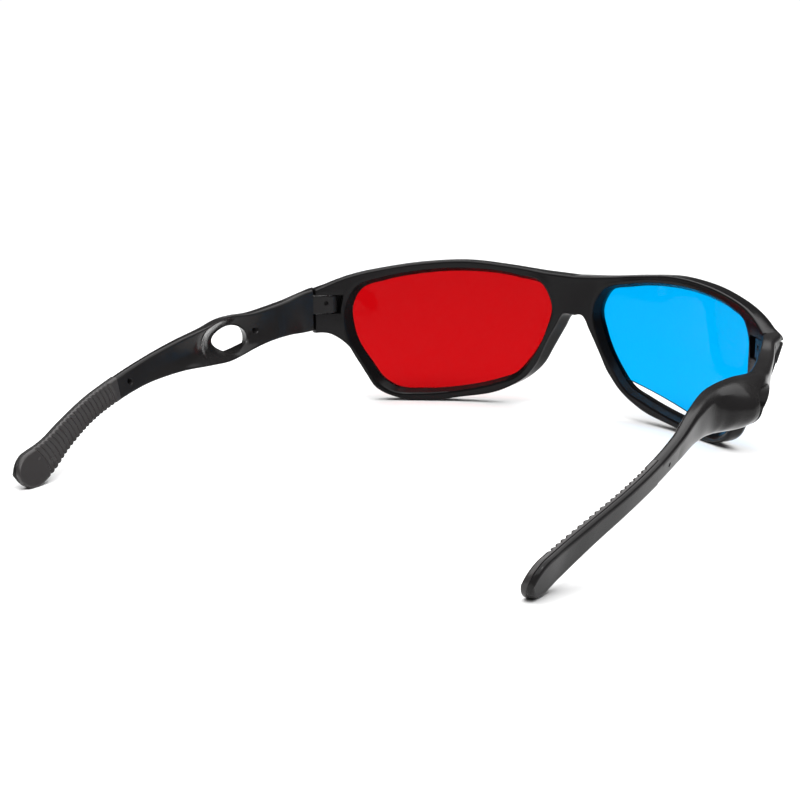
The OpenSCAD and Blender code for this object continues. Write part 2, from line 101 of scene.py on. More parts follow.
# Curves and places
def hermite(knots, closed=False):
    """Curve through knots: each knot's heading is the mean of its two reaches, each weighted by the
    other's length, and a knot with a third value is a corner that is left and reached straight.
    Between two knots the cubic blend of their places and headings is taken in even steps."""
    steps = 24
    k = np.array([p[:2] for p in knots], float)
    is_corner = np.array([len(p) > 2 for p in knots])[:, None]
    after = np.roll(k, -1, 0) - k
    before = np.roll(after, 1, 0)
    la = np.linalg.norm(after, axis=1)[:, None]
    lb = np.linalg.norm(before, axis=1)[:, None]
    head = (before * la / lb + after * lb / la) / (la + lb)
    leave = np.where(is_corner, after, head * la)
    arrive = np.roll(np.where(is_corner, before, head * lb), -1, 0)
    t = (np.arange(steps) / steps)[None, :, None]
    run = (k[:, None] * (2 * t**3 - 3 * t**2 + 1) + leave[:, None] * (t**3 - 2 * t**2 + t)
           + np.roll(k, -1, 0)[:, None] * (3 * t**2 - 2 * t**3) + arrive[:, None] * (t**3 - t**2))
    if closed:
        return run.reshape(-1, 2)
    return np.vstack([run[:-1].reshape(-1, 2), k[-1]])


def smooth(x, low, high):
    """Rises from 0 at low to 1 at high with level ends."""
    t = np.clip((x - low) / (high - low), 0, 1)
    return t * t * (3 - 2 * t)


def quarter(n):
    """Angles of a quarter turn in even steps, without its start."""
    return np.radians(np.linspace(0, 90, n)[1:])


def dimple(along, height, spot):
    """Depth of a round blind dimple: full over its floor, and smoothly nothing from its outer radius on."""
    a, h, depth, level, outer = spot
    return depth * (1 - smooth(np.hypot(along - a, height - h), level, outer))


def wrap(s, z, d):
    """Length along the wrap, height and depth behind the outer face, to places in the part's frame:
    a turn about the wrap's centre by length over radius, at the radius less the depth."""
    a = s / WRAP_R
    return np.stack([(WRAP_R - d) * np.sin(a), (WRAP_R - d) * np.cos(a) - WRAP_R + SHIFT_Y, z + 0 * s], -1)


def at_depth(s, d):
    """Length along the wrap at depth d of a wall that runs straight back from the layout radius."""
    return WRAP_R * np.arcsin(np.clip(LAYOUT_R * np.sin(s / WRAP_R) / (WRAP_R - d), -1, 1))


# Outlines of the front, in length along the wrap and height
def opening_at(u, v, ds=0.0, dz=0.0):
    """A point of a lens opening from shares of its width and height, moved by millimetres."""
    return np.array([LENS_GAP / 2 + u * LENS_W, LENS_LOW + v * LENS_H]) + np.array([ds, dz])


# The lens opening clockwise from the nose side, then the top edge and the lower edge from the middle outwards
OPENING = hermite([opening_at(*p) for p in (
    (0, 0.758), (0.043, 0.9), (0.176, 0.963), (0.422, 1), (0.677, 0.969), (0.837, 0.917),
    (0.952, 0.849), (1, 0.704), (0.992, 0.524), (0.908, 0.228), (0.857, 0.1), (0.782, 0.017),
    (0.652, 0), (0.463, 0.031), (0.274, 0.111), (0.181, 0.174), (0.115, 0.296), (0.025, 0.57))], True)
NOSE = opening_at(0.025, 0.58, -1.04 * NOSE_RIM)
TOP_EDGE = hermite([
    (0, BRIDGE_TOP, 1), (opening_at(0.04, 0)[0], BRIDGE_TOP + 0.2 * BRIDGE_DIP),
    (opening_at(0.235, 0)[0], LENS_TOP + BROW - 0.35 * BRIDGE_DIP), opening_at(0.43, 1, 0, BROW),
    opening_at(0.645, 0.98, 0, BROW), opening_at(0.825, 0.94, 0, BROW), opening_at(1, 0.885, 0, BROW),
    (FRONT_END, 0.98 * EAR_TOP, 1)])
LOW_EDGE = hermite([
    (0, BRIDGE_LOW, 1), (NOSE[0] / 2, BRIDGE_LOW - 0.06 * BRIDGE_H), NOSE,
    opening_at(0.055, 0.46, -0.76 * NOSE_RIM, -0.3 * NOSE_RIM),
    opening_at(0.1, 0.33, -0.62 * NOSE_RIM, -0.56 * NOSE_RIM),
    opening_at(0.165, 0.19, -0.36 * NOSE_RIM, -0.5 * NOSE_RIM),
    opening_at(0.28, 0.111, 0, -1.1 * RIM_LOW),
    opening_at(0.463, 0.031, 0, -0.9 * RIM_LOW),
    opening_at(0.645, 0, 0, -RIM_LOW),
    opening_at(0.775, 0.02, 0.3 * SIDE_RIM, -0.9 * RIM_LOW),
    opening_at(0.835, 0.085, 0.75 * SIDE_RIM + CORNER_FULL, -0.8 * RIM_LOW),
    opening_at(0.9, 0.21, SIDE_RIM + CORNER_FULL),
    opening_at(0.955, 0.385, 1.27 * SIDE_RIM + CORNER_FULL),
    (JOINT_S - 0.39 * END_L, 0.98 * EAR_LOW), (FRONT_END, EAR_LOW, 1)])

along_opening = np.roll(OPENING, -1, 0) - np.roll(OPENING, 1, 0)
# Away from the lens: the chord between a point's neighbours, turned a quarter and made one long
OPENING_OUT = (np.stack([-along_opening[:, 1], along_opening[:, 0]], 1)
               / np.linalg.norm(along_opening, axis=1)[:, None])


def top_z(s):
    """Height of the front's top edge, read off its curve."""
    return np.interp(s, TOP_EDGE[:, 0], TOP_EDGE[:, 1])


def low_z(s):
    """Height of the front's lower edge, read off its curve."""
    return np.interp(s, LOW_EDGE[:, 0], LOW_EDGE[:, 1])


def rear_d(s):
    """Depth of the inner face: the rim's depth plus the nose pads' rise, which fades out along the wrap."""
    return RIM_T + PAD_RISE * (0.5 + 0.5 * np.cos(np.pi * np.clip((np.abs(s) - PAD_HALF_W) / PAD_FADE, 0, 1)))


def end_round(s):
    """Radius of the lower outer edge: fuller at the nose, even below the lens, growing towards the joint."""
    return np.interp(s, [2, 6, 12, 18, opening_at(0.75, 0)[0], JOINT_S],
                     [OUTER_ROUND, NOSE_ROUND, NOSE_ROUND, OUTER_ROUND, OUTER_ROUND, ROOT_ROUND])


def brow_round(s):
    """Radius of the upper outer edge, which grows over the outer third of the lens."""
    return OUTER_ROUND + BROW_GAIN * smooth(s, 45, 70)


# Meshes from grids of points
def grid_quads(rows, cols, first=0, close_rows=False, close_cols=False):
    """Corner numbers of the quads of a rows by cols grid of points, joined end to end where asked."""
    i = np.arange(rows if close_rows else rows - 1)[:, None]
    j = np.arange(cols if close_cols else cols - 1)[None, :]
    i2, j2 = (i + 1) % rows, (j + 1) % cols
    quads = np.stack(np.broadcast_arrays(i * cols + j, i * cols + j2, i2 * cols + j2, i2 * cols + j), -1)
    return quads.reshape(-1, 4) + first


def shell(points, quads, caps=()):
    """A closed shell, as points and groups of faces that have the same number of corners. It joins points that
    coincide, turns collapsed quads into triangles and faces outwards: the sign of the volume, summed over the
    faces' triangles, tells which way the faces point."""
    keys, inverse = np.unique(np.round(points * JOIN_STEPS).astype(np.int64), axis=0, return_inverse=True)
    inverse = inverse.ravel()
    place = np.zeros((len(keys), 3))
    place[inverse] = points
    q = inverse[quads]
    same = q == np.roll(q, -1, 1)
    whole = q[(same.sum(1) == 0) & (q[:, 0] != q[:, 2]) & (q[:, 1] != q[:, 3])]
    once = same.sum(1) == 1
    keep = np.argsort(same[once], axis=1, kind="stable")[:, :3]
    tris = np.take_along_axis(q[once], np.sort(keep, axis=1), 1)
    ends = [inverse[c] for c in caps]
    ends = [e[np.sort(np.unique(e, return_index=True)[1])] for e in ends]
    fans = [np.stack([np.full(len(e) - 2, e[0]), e[1:-1], e[2:]], 1) for e in ends]
    t = np.vstack([whole[:, [0, 1, 2]], whole[:, [0, 2, 3]], tris] + fans)
    volume = np.einsum("ij,ij->", place[t[:, 0]], np.cross(place[t[:, 1]], place[t[:, 2]]))
    turn = -1 if volume < 0 else 1
    return place, [f[:, ::turn] for f in [whole, tris] + [e[None] for e in ends]]


def tube(points, capped=True):
    """A shell from a grid whose rows are rings that close on themselves, with a face over each end if capped."""
    n, m = points.shape[:2]
    ring = np.arange(m)
    caps = [ring[::-1], ring + (n - 1) * m] if capped else []
    return shell(points.reshape(-1, 3), grid_quads(n, m, close_cols=True), caps)


def mirrored(part):
    """The other hand of a shell: x changes its sign, and each face runs the other way."""
    return part[0] * [-1, 1, 1], [f[:, ::-1] for f in part[1]]


def add_piece(name, shells, material, body, node):
    """Puts shells, in millimetres, into one mesh with smooth faces and sharp edges past an angle."""
    start = np.cumsum([0] + [len(p) for p, _ in shells])
    faces = [f for (_, groups), k in zip(shells, start) for g in groups for f in (g + k).tolist()]
    mesh = bpy.data.meshes.new(name)
    mesh.from_pydata(np.vstack([p for p, _ in shells]) * 0.001, [], faces)
    mesh.shade_smooth()
    mesh.set_sharp_from_angle(angle=math.radians(SHARP_DEG))
    mesh.materials.append(material)
    piece = bpy.data.objects.new(name, mesh)
    bpy.context.scene.collection.objects.link(piece)
    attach(piece, body)
    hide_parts(node)


# Front
# Sides of the half front's outline: the middle plane, the top edge, the slot's start and the lower edge
MIDDLE, TOP, END, LOW = range(4)


def matched_loops():
    """Pairs each point of the lens opening with a point of the half front's outline, evenly between marks that
    belong together; the outline runs up the middle, along the top, down before the slot and back below.
    Gives points, directions away from the lens, lengths or shares along the outline's side, and the side."""
    step = 0.45
    top_marks = (((0.012, 0.83), 0), ((0.075, 0.925), 10.2), ((0.235, 0.978), 22.1), ((0.43, 1), 34),
                 ((0.645, 0.976), 47.1), ((0.82, 0.924), 58), ((0.92, 0.875), 65.5), ((0.985, 0.79), SLOT_START))
    low_marks = (((0.985, 0.49), SLOT_START), ((0.95, 0.37), 70), ((0.9, 0.21), 66.3), ((0.85, 0.09), 61.4),
                 ((0.78, 0.016), 56.1), ((0.645, 0), 47.1), ((0.463, 0.031), 36), ((0.28, 0.109), 24.85),
                 ((0.17, 0.185), 16.1), ((0.105, 0.32), 10.85), ((0.06, 0.46), 7.43), ((0.02, 0.59), 4.23),
                 ((0.006, 0.66), 2.1), ((0, 0.72), 0))
    first = np.argmin(np.linalg.norm(OPENING - opening_at(*low_marks[-1][0]), axis=1))
    loop, out = (np.vstack([np.roll(a, -first, 0), a[first]]) for a in (OPENING, OPENING_OUT))
    length = np.concatenate([[0], np.cumsum(np.linalg.norm(np.diff(loop, axis=0), axis=1))])

    def mark(uv):
        """Length round the opening of its point next to a mark."""
        return length[np.argmin(np.linalg.norm(loop[:-1] - opening_at(*uv), axis=1))]

    def upright(a, b, side):
        """Points along one of the two upright sides, by share, without its ends."""
        share = np.linspace(0, 1, 26)[1:-1]
        return a + share * (b - a), share, np.full(len(share), side)

    def edge(marks, at, side):
        """Points along the top or lower edge, about a step apart."""
        n = [max(3, int(abs(b - a) / step)) for a, b in zip(at[:-1], at[1:])]
        knot = np.cumsum([0] + n)
        row = np.arange(knot[-1] + 1)
        return np.interp(row, knot, at), np.interp(row, knot, [s for _, s in marks]), np.full(len(row), side)

    top_at = [mark(uv) for uv, _ in top_marks]
    low_at = [mark(uv) for uv, _ in low_marks[:-1]] + [length[-1]]
    at, s_out, side = map(np.concatenate, zip(
        upright(0, top_at[0], MIDDLE), edge(top_marks, top_at, TOP),
        upright(top_at[-1], low_at[0], END), edge(low_marks, low_at, LOW)))
    o, n = (np.stack([np.interp(at, length, a[:, i]) for i in (0, 1)], 1) for a in (loop, out))
    return o, n / np.linalg.norm(n, axis=1)[:, None], s_out, side


def rim_half():
    """Right half of the front: at each point round the lens opening a closed profile in distance from the
    opening and in depth. It has the lens groove, the flare behind it, the inner face, the rounded outer
    edges and the outer face, and is carried once round the opening. Faces in the middle plane are left out."""
    o, n_in, s_out, side = matched_loops()
    on_top, on_low, upright = side == TOP, side == LOW, (side == MIDDLE) | (side == END)
    ri = np.where(upright, 0, INNER_ROUND)
    ro = np.where(upright, 0, np.where(on_low, end_round(s_out), brow_round(s_out)))

    def edge_z(s):
        """Height of the outline's upper or lower edge."""
        return np.where(on_top, top_z(s), low_z(s))

    # Heights on the two upright sides, between the rounded edges above and below
    s_side = np.where(side == MIDDLE, 0, SLOT_START)
    z_hi, z_lo = top_z(s_side), low_z(s_side)
    up = np.where(side == MIDDLE, s_out, 1 - s_out)

    def outline(r_low, r_top):
        """Points of the outline whose upright sides keep clear of edges with these radii."""
        z_side = z_lo + r_low + up * (z_hi - z_lo - r_top - r_low)
        return np.stack([np.where(upright, s_side, s_out), np.where(upright, z_side, edge_z(s_out))], 1)

    # Directions out of the part, square to the edges and level towards the two upright sides
    reach = 0.1
    slope = (edge_z(s_out + reach) - edge_z(s_out - reach)) / (2 * reach)
    over = np.where(on_top, 1.0, -1.0)
    tilt = smooth(s_out, 0, 2) * (1 - smooth(s_out, SLOT_START - 6, SLOT_START))
    n_out = np.stack([-slope * over * tilt, over], 1)
    n_out /= np.linalg.norm(n_out, axis=1)[:, None]
    slant = np.where(on_low, np.interp(s_out, *SLANT.T), 0)
    b_rear = outline(INNER_ROUND, INNER_ROUND) - n_out * slant[:, None]
    b_front = outline(end_round(s_side), brow_round(s_side))

    def on_opening(grow, d):
        """A column of the profile at a distance from the opening, on walls that run straight back."""
        p = o + n_in * np.reshape(grow, (-1, 1))
        d = np.broadcast_to(d, len(p))
        return np.stack([at_depth(p[:, 0], d), p[:, 1], d], 1)

    def span(a, b, n):
        """Columns evenly from a, which is left out, to b."""
        return [a + (b - a) * share for share in np.linspace(0, 1, n)[1:]]

    # Groove, flare and soft inner edge
    behind_lens = LENS_SET + LENS_T + LENS_CLEAR
    dr = rear_d(o[:, 0] + n_in[:, 0] * FLARE)
    cols = [on_opening(GROOVE, behind_lens), on_opening(0, behind_lens)]
    cols += [on_opening(k * FLARE, behind_lens + k * (dr - behind_lens)) for k in (0.04, 0.25, 0.5, 0.75, 0.9)]
    cols += [on_opening(0.95 * FLARE + SOFT_W * math.sin(a), dr - SOFT_D * (1 - math.sin(a)))
             for a in np.radians((15, 35, 55, 75, 90))]
    # Inner face, which takes the pads' depth within its first third, then its rounded edge
    rear_s = b_rear - n_out * ri[:, None]
    rear = np.column_stack([rear_s, rear_d(rear_s[:, 0])])
    for i, col in enumerate(span(cols[-1], rear, 9)):
        own = min(1, (i + 1) / 8 * 3)
        col[:, 2] = rear_d(col[:, 0]) * own + col[:, 2] * (1 - own)
        cols.append(col)
    cols += [np.column_stack([b_rear - n_out * (ri * (1 - math.sin(a)))[:, None],
                              rear[:, 2] - ri * (1 - math.cos(a))]) for a in quarter(7)]
    # Side, rounded outer edge and outer face
    cols += span(cols[-1], np.column_stack([b_front, ro]), 6)
    cols += [np.column_stack([b_front - n_out * (ro * (1 - math.cos(a)))[:, None],
                              ro * (1 - math.sin(a))]) for a in quarter(9)]
    # The wall in front of the lens stands square to the wrap, and is set back towards the temple
    seat = LENS_SET - LENS_CLEAR
    back = WALL_BACK + WALL_GAIN * smooth(o[:, 0], 50, 67) * smooth(o[:, 1], 8, 18)
    wall, zero = on_opening(back, seat)[:, :2], 0 * back
    cols += span(cols[-1], np.column_stack([wall + n_in * WALL_ROUND, zero]), 8)
    cols += [np.column_stack([wall + n_in * WALL_ROUND * (1 - math.sin(a)),
                              zero + WALL_ROUND * (1 - math.cos(a))]) for a in quarter(6)]
    cols += [np.column_stack([wall, zero + seat]), on_opening(GROOVE, seat)]
    points = wrap(*np.moveaxis(np.stack(cols, 1), -1, 0))
    points[side == MIDDLE, :, 0] *= np.abs(points[side == MIDDLE, :, 0]) > 1e-6
    quads = grid_quads(*points.shape[:2], close_rows=True, close_cols=True)
    flat = points.reshape(-1, 3)
    return flat, quads[~(np.abs(flat[quads][..., 0]) < 1e-5).all(1)]


def box_ring(out, inn, top, low, r_ot, r_it, r_il, r_ol, n=7):
    """Closed ring of a box with its own radius at each edge, in distance out of the part and height: a quarter
    circle at each corner, from the lower outer one upwards and round."""
    parts = []
    for x, to_x, z, to_z, r, turn in ((out, -1, low, 1, r_ol, -90), (out, -1, top, -1, r_ot, 0),
                                      (inn, 1, top, -1, r_it, 90), (inn, 1, low, 1, r_il, 180)):
        t = np.radians(np.linspace(0, 90, n) + turn)
        parts.append(np.stack([(x + to_x * r)[:, None] + r[:, None] * np.cos(t),
                               (z + to_z * r)[:, None] + r[:, None] * np.sin(t)], -1))
    return np.concatenate(parts, 1)


def drawn_in(out, z, near, inner):
    """The joint's outer side slopes inwards below its top: a distance out of the part less its share of the
    slope, which is full on the outer face, nothing on the inner one, and grows towards the joint."""
    return out - ROOT_LEAN * np.maximum(0, EAR_TOP - LEAN_DROP - z) * near * (1 + out / inner)


def ear(s, top, low, r_ot, r_it, r_il, r_ol):
    """One ear of the hinge: rounded box sections from the slot's start to the joint. Its inner edge at the
    joint follows a circle about the hinge axis, so that the temple can turn past it."""
    x = np.clip(s - JOINT_S + AXIS_BACK, 0, AXIS_BACK)
    inner = np.minimum(RIM_T, RIM_T - AXIS_IN + np.sqrt(AXIS_BACK**2 - x**2))
    ring = box_ring(0 * s, -inner, top, low, *(r + 0 * s for r in (r_ot, r_it, r_il, r_ol)))
    out = drawn_in(ring[..., 0], ring[..., 1], smooth(s, SLOT_START, JOINT_S)[:, None], inner[:, None])
    return tube(wrap(s[:, None] + 0 * out, ring[..., 1], -out))


def slot_wall():
    """Thin wall that closes the slot's front end on the outer side: a flat box bent along the wrap, which
    reaches a little into the rim and the ears."""
    into_rim, into_ear, sunk = 0.1, 0.4, 0.01
    s = np.linspace(SLOT_START - into_rim, SLOT_START + SLOT_WALL_L, 4)
    ring = box_ring(*(v + 0 * s for v in (0, -SLOT_WALL, TONGUE_Z + TONGUE_H + into_ear, TONGUE_Z - into_ear)),
                    *(WALL_CRISP + 0 * s for _ in range(4)), n=2)
    out = drawn_in(ring[..., 0], ring[..., 1], smooth(s, SLOT_START, JOINT_S)[:, None], RIM_T)
    return tube(wrap(s[:, None] + 0 * out, ring[..., 1], sunk - out))


def front_shells():
    """The front: both rims as one shell, the right half and its mirror image joined in the middle plane, and
    on each side the two ears and the wall of the slot between them."""
    flat, quads = rim_half()
    rims = shell(np.vstack([flat, flat * [-1, 1, 1]]), np.vstack([quads, quads[:, ::-1] + len(flat)]))
    s = np.concatenate([np.linspace(SLOT_START, JOINT_S - 0.6, 14), np.linspace(JOINT_S - 0.54, JOINT_S, 8)])
    slot_top, slot_low = TONGUE_Z + TONGUE_H + TONGUE_PLAY + 0 * s, TONGUE_Z - TONGUE_PLAY + 0 * s
    brow = np.minimum(brow_round(s), 0.85 * (top_z(s) - slot_top))
    ends = [ear(s, top_z(s), slot_top, brow, INNER_ROUND, CRISP, CRISP),
            ear(s, slot_low, low_z(s), CRISP, CRISP, INNER_ROUND, end_round(s)), slot_wall()]
    return [rims] + ends + [mirrored(e) for e in ends]


# Lenses
def lens_shell(cut):
    """A lens: rings of points from its middle to the groove, on both faces, joined by its edge.
    Where cut is asked, a ray from the middle stops at the straight cut across the lower inner corner."""
    mid = opening_at(0.5, 0.52)
    ray = OPENING + OPENING_OUT * (GROOVE - LENS_CLEAR) - mid
    if cut:
        p, q = opening_at(0.181, 0.215), opening_at(0.542, 0.065)
        across = np.array([-(q - p)[1], (q - p)[0]])
        meet = ((p - mid) @ across) / (ray @ across)
        ray = ray * np.where(meet > 0, np.minimum(1, meet), 1)[:, None]
    sz = mid + np.linspace(0, 1, 22)[:, None, None] * ray
    front, back = (wrap(at_depth(sz[..., 0], d), sz[..., 1], d) for d in (LENS_SET, LENS_SET + LENS_T))
    return tube(np.concatenate([front, back[::-1]]), capped=False)


# Temples, in distance out of the joint, distance behind it and height
def behind(out, share):
    """A knot by its distance out of the joint and its share of the temple's length."""
    return out, share * ARM_LEN


def beside(*shares):
    """Curve through knots by shares of the temple's length and of the ears' height; its two ends are corners."""
    return hermite([(u * ARM_LEN, v * EAR_TOP) + ((1,) if u < 0 or u == 1 else ()) for u, v in shares])


# Outer face, thickness by share of the length, inner face of the root, share of the swell, upper and lower edge
ROOT_SHARE = 0.121
ARM_OUTER = hermite([
    behind(-0.7 * RIM_T, -0.035) + (1,), behind(-0.07 * RIM_T, 0), behind(0.08 * ARM_BOW, 0.052),
    behind(0.41 * ARM_BOW, 0.104), behind(0.68 * ARM_BOW, 0.156), behind(0.9 * ARM_BOW, 0.208),
    behind(ARM_BOW, 0.26), behind(0.76 * ARM_BOW, 0.311), behind(0.39 * ARM_BOW, 0.398),
    behind(0.51 * ARM_BOW, 0.484), behind(0.73 * ARM_BOW, 0.58), behind(0.735 * ARM_BOW, 0.666),
    behind(0.54 * ARM_BOW, 0.757), behind(0.09 * ARM_BOW, 0.848), behind(-0.63 * TIP_TURN, 0.917),
    behind(-TIP_TURN, 1) + (1,)])
ARM_THICK = np.array([
    (ROOT_SHARE, 1.01 * ARM_T), (0.208, 1.03 * ARM_T), (0.311, ARM_T), (0.398, 0.93 * ARM_T),
    (0.484, 1.2 * TIP_T), (0.58, TIP_T), (1, TIP_T)])
ARM_ROOT = hermite([
    behind(-1.6 * RIM_T, -0.035) + (1,), (-RIM_T * math.sin(JOINT_A), RIM_T * math.cos(JOINT_A)),
    behind(0.5 * ARM_BOW - 1.01 * ARM_T, ROOT_SHARE) + (1,)])
SHOULDER = hermite([
    (0.138, 0, 1), (0.208, 0.22), (0.26, 0.5), (0.303, 0.82), (0.336, 0.97), (0.367, 0.82),
    (0.406, 0.46), (0.455, 0.2), (0.52, 0.07), (0.59, 0, 1)])
ARM_TOP = beside(
    (-0.035, 1.042), (0.052, 0.997), (0.104, 0.942), (0.156, 0.904), (0.208, 0.878), (0.26, 0.878),
    (0.311, 0.88), (0.398, 0.843), (0.484, 0.779), (0.58, 0.68), (0.666, 0.588), (0.757, 0.488),
    (0.848, 0.375), (0.917, 0.284), (0.967, 0.236), (1, 0.205))
ARM_LOW = beside(
    (-0.035, 0.688), (0.052, 0.648), (0.104, 0.645), (0.156, 0.624), (0.208, 0.584), (0.26, 0.538),
    (0.311, 0.526), (0.398, 0.54), (0.484, 0.538), (0.58, 0.49), (0.666, 0.416), (0.757, 0.316),
    (0.848, 0.181), (0.917, 0.055), (0.958, 0), (1, 0))


def outer_x(b):
    """Outer face of the temple, read off its curve."""
    return np.interp(b, ARM_OUTER[:, 1], ARM_OUTER[:, 0])


def inner_x(b):
    """Inner face of the temple: the root's own curve up to its end, then the outer face less the thickness."""
    thick = np.interp(b / ARM_LEN, ARM_THICK[:, 0], ARM_THICK[:, 1])
    return np.where(b < ROOT_SHARE * ARM_LEN, np.interp(b, ARM_ROOT[:, 1], ARM_ROOT[:, 0]), outer_x(b) - thick)


def arm_mid(b):
    """Height of the temple's middle: the mean of its two edges."""
    return (np.interp(b, *ARM_TOP.T) + np.interp(b, *ARM_LOW.T)) / 2


def arm_half(b):
    """Half the temple's height, drawn in at the tip as a quarter circle."""
    end = np.sqrt(1 - np.clip((b - ARM_LEN + TIP_ROUND) / (TIP_ROUND + 0.02), 0, 1) ** 2)
    return (np.interp(b, *ARM_TOP.T) - np.interp(b, *ARM_LOW.T)) / 2 * end


def arm_top(b):
    """Upper edge: half the height over the middle."""
    return arm_mid(b) + arm_half(b)


def arm_low(b):
    """Lower edge: half the height under the middle, but not under the floor."""
    return np.maximum(0, arm_mid(b) - arm_half(b))


def tip_run(n):
    """Places along the tip's round end, closer together towards its end as a sine."""
    return ARM_LEN - TIP_ROUND + TIP_ROUND * np.sin(np.linspace(0, np.pi / 2, n))[1:]


def in_frame(x, b, z):
    """Distance out of and behind the joint, and height, to places in the part's frame. A section of the
    temple leans outwards with its height, and swells between its two edges as a parabola, fuller below."""
    up, half = z - arm_mid(b), arm_half(b)
    share = b / ARM_LEN
    lean = ARM_LEAN * smooth(share, 0.04, 0.15) + (TIP_LEAN - ARM_LEAN) * smooth(share, 0.3, 1)
    bulge = np.maximum(0, 1 - (up / half) ** 2) * (1 - 0.3 * up / half)
    swell = ARM_SWELL * np.interp(share, SHOULDER[:, 0], SHOULDER[:, 1]) * bulge
    return np.stack([JOINT_X + x + lean * up + swell, JOINT_Y - b + SHIFT_Y, z], -1)


# Oval openings: place behind the joint, height, half length, half height, inner lip, outer bevel, lean forwards
Hole = namedtuple("Hole", "b z half_l half_h lip bevel rake")
WINDOW = Hole(WINDOW_BACK - WINDOW_SHIFT, float(arm_mid(WINDOW_BACK)) - WINDOW_DROP,
              WINDOW_L / 2, WINDOW_H / 2, LIP, WINDOW_BEVEL, WINDOW_RAKE)
CORD_HOLE = Hole(CORD_BACK, float(arm_mid(CORD_BACK)), CORD_R, CORD_R, CORD_LIP, CORD_BEVEL, 0.0)


def arm_shell():
    """The temple as two half profiles, over and under a parting line, carried from the joint to the tip.
    At the oval window and the cord hole the halves part along the oval, and strips with bevelled edges join
    its two rims. Behind the grip's front end only the outer layer that carries the grip is left."""
    lin = np.linspace
    oval = lin(0, np.pi, 65)
    runs = [
        (np.concatenate([lin(0, ROOT_RUN, 40), lin(ROOT_RUN, WINDOW_BACK - WINDOW_L / 2 - 2.5, 40)[1:]]), None),
        (oval, WINDOW),
        (lin(WINDOW_BACK + WINDOW_L / 2 + LIP, CORD_BACK - 1, 90)[1:-1], None),
        (oval, CORD_HOLE),
        (np.concatenate([lin(CORD_BACK + 1, GRIP_BACK, 14)[1:], [GRIP_BACK + 0.001],
                         lin(GRIP_BACK, ARM_LEN - TIP_ROUND, 70)[1:], tip_run(14)]), None)]

    def rows(at_oval, elsewhere):
        """One value for each section: from the oval's angle where there is a hole, from the place elsewhere."""
        return np.concatenate([elsewhere(r) if h is None else at_oval(r, h) for r, h in runs])

    mid_b = rows(lambda r, h: h.b - h.half_l * np.cos(r), lambda r: r)
    in_b = rows(lambda r, h: h.b - (h.half_l + h.lip) * np.cos(r), lambda r: r)[:, None]
    out_b = rows(lambda r, h: h.b - h.rake - (h.half_l + h.bevel) * np.cos(r), lambda r: r)[:, None]
    in_gap = rows(lambda r, h: (h.half_h + h.lip) * np.sin(r), np.zeros_like)[:, None]
    out_gap = rows(lambda r, h: (h.half_h + h.bevel) * np.sin(r), np.zeros_like)[:, None]
    split = arm_mid(mid_b)
    for hole in (WINDOW, CORD_HOLE):
        split = hole.z + (split - hole.z) * smooth(np.abs(mid_b - hole.b), hole.half_l + 0.3, hole.half_l + 6)

    # Columns of a half profile: inner face, inner edge, flat top or underside, outer edge, outer face
    sizes = (20, 5, 4, 8, 19)
    face, flat, arc_in, arc_out = lin(0, 1, sizes[0]), lin(0, 1, 5)[1:], quarter(6), quarter(9)

    def cols(*values):
        """One weight for each column, from a value or an array for each of the five groups."""
        return np.concatenate([np.broadcast_to(v, n) for v, n in zip(values, sizes)])

    inside = cols(1, 1, 1 - flat, 0, 0)
    in_x, in_z = cols(0, 1 - np.cos(arc_in), 1, 1, 1), cols(1, 1 - np.sin(arc_in), 0, 0, 0)
    out_x, out_z = cols(0, 0, 0, np.sin(arc_out), 1), cols(0, 0, 0, 1 - np.cos(arc_out), 1)
    over, to_split = cols(0, 0, flat, 1, 1), cols(1 - face, 0, 0, 0, face[1:])
    on_inner = cols(1, 0, 0, 0, 0)

    def half(sign):
        """Upper or lower half: faces, flat and two quarter circles as weighted sums of the section's measures."""
        b = in_b * inside + out_b * (1 - inside)
        root = ROOT_OUT + (ROOT_IN - ROOT_OUT) * inside
        b = np.where(b < ROOT_RUN, root + b * (1 - root / ROOT_RUN), b)
        xo, on_seat = outer_x(b), b > GRIP_BACK
        xi = np.where(on_seat, xo - GRIP_SEAT, inner_x(b))
        zt, zl = arm_top(b), arm_low(b)
        r_max = ROUND_SHARE * (zt - zl)
        ri = np.minimum(np.where(on_seat, SEAT_ROUND, INNER_ROUND), r_max)
        low_r = np.interp(b, [0, ROOT_L], [ROOT_ROUND, OUTER_ROUND])
        ro = np.minimum(np.where(on_seat, SEAT_OUTER_ROUND, OUTER_ROUND if sign > 0 else low_r), r_max)
        edge = (zt if sign > 0 else zl) - sign * (ri * in_z + ro * out_z)
        rim = split[:, None] + sign * (in_gap * inside + out_gap * (1 - inside))
        z = edge + (rim - edge) * to_split
        x = xi + ri * in_x + (xo - ro - xi - ri) * over + ro * out_x + on_inner * dimple(b, z, ARM_DIMPLE)
        return xo + drawn_in(x - xo, z, 1 - smooth(b, 2, 16), xo - xi), b, z

    grids = []
    starts = np.cumsum([0] + [len(r) for r, _ in runs])
    for sign in (1, -1):
        x, b, z = half(sign)
        grids.append((in_frame(x, b, z), sign))
        for start, (r, hole) in zip(starts, runs):
            if hole:
                w = slice(start, start + len(r))
                middle = in_frame(inner_x(mid_b[w]) + hole.lip, mid_b[w], hole.z + sign * hole.half_h * np.sin(r))
                inner, outer = (in_frame(x[w, k], b[w, k], z[w, k]) for k in (0, -1))
                grids.append((np.stack([outer, middle, inner], 1), sign))
    counts = np.cumsum([0] + [g.shape[0] * g.shape[1] for g, _ in grids])
    quads = [grid_quads(*g.shape[:2], k)[:, ::sign] for (g, sign), k in zip(grids, counts)]
